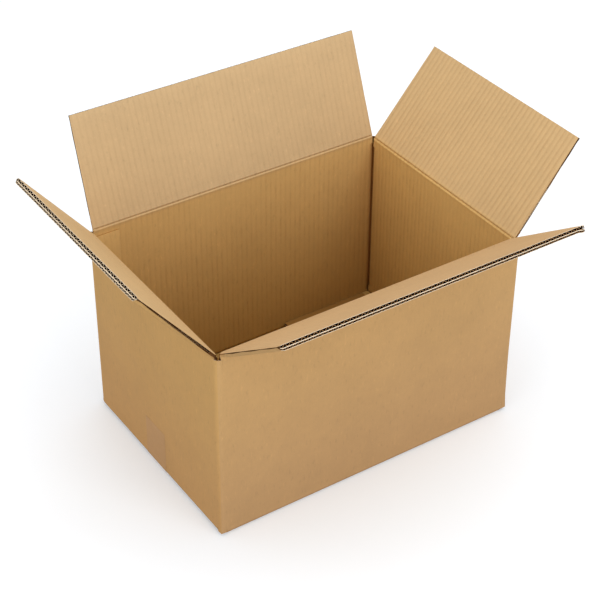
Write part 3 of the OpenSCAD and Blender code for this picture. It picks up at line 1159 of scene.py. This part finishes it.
def square_corners(piece):
    """Makes the folds of the walls sharper towards the floor, where the bottom flaps pull them in."""
    for vertex in piece.data.vertices:
        p = vertex.co
        out_x, out_y = abs(p.x) - (HALF_L - FOLD_R), abs(p.y) - (HALF_W - FOLD_R)
        if min(out_x, out_y) > 0 and not (p.x < 0 and p.y > 0):
            sharp = SHARP_SHARE * smooth((SHARP_TOP - p.z) / SHARP_FADE)
            grow = sharp * (math.hypot(out_x, out_y) / max(out_x, out_y) - 1)
            vertex.co.x += math.copysign(grow * out_x, p.x)
            vertex.co.y += math.copysign(grow * out_y, p.y)


def round_tab_end(piece):
    """Draws the back end of the left foot in, as far as the tab's fold is rounded above it."""
    for vertex in piece.data.vertices:
        past = min(max(vertex.co.y - (TAB_Y - TAB_FOLD_R), 0.0), 0.95 * TAB_FOLD_R)
        vertex.co.x += TAB_FOLD_R - math.sqrt(TAB_FOLD_R ** 2 - past ** 2)


for piece in (walls, tape, *feet):
    settle(piece)
for foot in feet:
    flatten(foot)
square_corners(walls)
round_tab_end(feet[-1])
print("lowest", [round(min(v.co.z for v in piece.data.vertices) / MM, 2) for piece in (walls, tape, *feet)])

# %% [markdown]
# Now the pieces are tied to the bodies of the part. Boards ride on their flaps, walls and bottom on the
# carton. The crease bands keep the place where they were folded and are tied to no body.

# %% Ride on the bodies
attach(walls, "carton")
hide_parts("carton_body")
for piece in [*feet, *lower_boards.values()]:
    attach(piece, "carton")
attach(tape, "carton")
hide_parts("bottom_tape")
for name, angle in SHOWN_FLAPS.items():
    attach(boards[name], name)
    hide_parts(name)
    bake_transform(bands[name])

# %% [markdown]
# The stage is a plain white floor that keeps the soft shadow. The camera sees it nearly white by itself,
# and every other ray meets an ordinary pale floor, so it gives the carton no more light than a floor
# would.


# %% Floor
FLOOR_SEEN, FLOOR_GLOW, FLOOR_PLAIN = (0.765, 0.80, 0.84, 1), (0.265, 0.265, 0.265, 1), (0.42, 0.42, 0.42, 1)
FLOOR_SIZE, FLOOR_DROP = 30, 0.3 * MM


def seen_directly(net):
    """1 for rays from the camera, also by reflection or through glass, and 0 for the others."""
    path = net.add("LightPath", {})
    seen = net.math("MAXIMUM", path["Is Camera Ray"], path["Is Glossy Ray"])
    return net.math("MAXIMUM", seen, path["Is Transmission Ray"])


def floor_material():
    """White to the camera, with the shadow kept; plain pale paper to the light."""
    material = bpy.data.materials.new("studio_floor")
    material.use_nodes = True
    tree = material.node_tree
    net = Net(tree)
    tree.nodes.remove(tree.nodes["Principled BSDF"])
    seen = seen_directly(net)
    shaded = net.add("BsdfDiffuse", {"Color": FLOOR_SEEN})[0]
    glow = net.add("Emission", {"Color": FLOOR_GLOW})[0]
    white = net.add("AddShader", {0: shaded, 1: glow})[0]
    plain = net.add("BsdfDiffuse", {"Color": FLOOR_PLAIN})[0]
    chosen = net.add("MixShader", {0: seen, 1: plain, 2: white})[0]
    net.feed(tree.nodes["Material Output"].inputs["Surface"], chosen)
    return material


clear_selection()
bpy.ops.mesh.primitive_plane_add(size=FLOOR_SIZE, location=(0, 0, -FLOOR_DROP))
floor = bpy.context.object
floor.name = "studio_floor"
floor.data.materials.append(floor_material())

# %% [markdown]
# The light is that of a white studio: an even sky, a wide soft lamp overhead, one in front and a weaker
# one on the left.


# %% Sky and lamps
def studio_sky(strength):
    """An even white sky; the camera sees plain white."""
    world = bpy.data.worlds.new("studio_sky")
    world.use_nodes = True
    bpy.context.scene.world = world
    tree = world.node_tree
    net = Net(tree)
    background = tree.nodes["Background"]
    seen = seen_directly(net)
    background.inputs["Color"].default_value = (1, 1, 1, 1)
    net.feed(background.inputs["Strength"], net.math("MULTIPLY_ADD", seen, 1.0 - strength, strength))


def soft_lamp(name, place, aim, size, power):
    """A square area lamp that looks at a point."""
    clear_selection()
    bpy.ops.object.light_add(type="AREA", location=place)
    lamp = bpy.context.object
    lamp.name = name
    lamp.data.size = size
    lamp.data.energy = power
    lamp.rotation_euler = (Vector(aim) - Vector(place)).to_track_quat("-Z", "Y").to_euler()


studio_sky(0.70)
soft_lamp("overhead_lamp", (0.25, 0.1, 2.4), (0, 0, 0.2), 2.4, 23)
soft_lamp("front_lamp", (0.4, -2.6, 1.3), (0, 0, 0.15), 1.8, 25)
soft_lamp("left_lamp", (-2.6, -0.6, 1.3), (0, 0, 0.15), 1.8, 14)

# %% [markdown]
# The camera stands where the photographer stood: on the front left, some 37 degrees above the horizon,
# with a long lens.

# %% Camera
VIEW_AZIMUTH, VIEW_ELEVATION, VIEW_DISTANCE = math.radians(-33.941), math.radians(36.782), 2.1331
AIM_YAW, AIM_PITCH, AIM_ROLL = math.radians(0.114), math.radians(-0.919), math.radians(0.355)
FOCAL_SHARE = 1648.1 / 600
AIM_POINT, SENSOR_W = Vector((0, 0, 0.13)), 36


def from_side(azimuth, elevation):
    """The direction from the object to a camera at these angles."""
    flat = math.cos(elevation)
    return Vector((math.sin(azimuth) * flat, -math.cos(azimuth) * flat, math.sin(elevation)))


eye = AIM_POINT + VIEW_DISTANCE * from_side(VIEW_AZIMUTH, VIEW_ELEVATION)
forward = -from_side(VIEW_AZIMUTH + AIM_YAW, VIEW_ELEVATION + AIM_PITCH)
level_right = forward.cross(Vector((0, 0, 1))).normalized()
level_up = level_right.cross(forward)
right = math.cos(AIM_ROLL) * level_right + math.sin(AIM_ROLL) * level_up
up = math.cos(AIM_ROLL) * level_up - math.sin(AIM_ROLL) * level_right
bpy.ops.object.camera_add()
camera = bpy.context.object
camera.matrix_world = Matrix.Translation(eye) @ Matrix((right, up, -forward)).transposed().to_4x4()
camera.data.sensor_width = SENSOR_W
camera.data.lens = SENSOR_W * FOCAL_SHARE
bpy.context.scene.camera = camera
bpy.context.scene.view_settings.view_transform = "Standard"
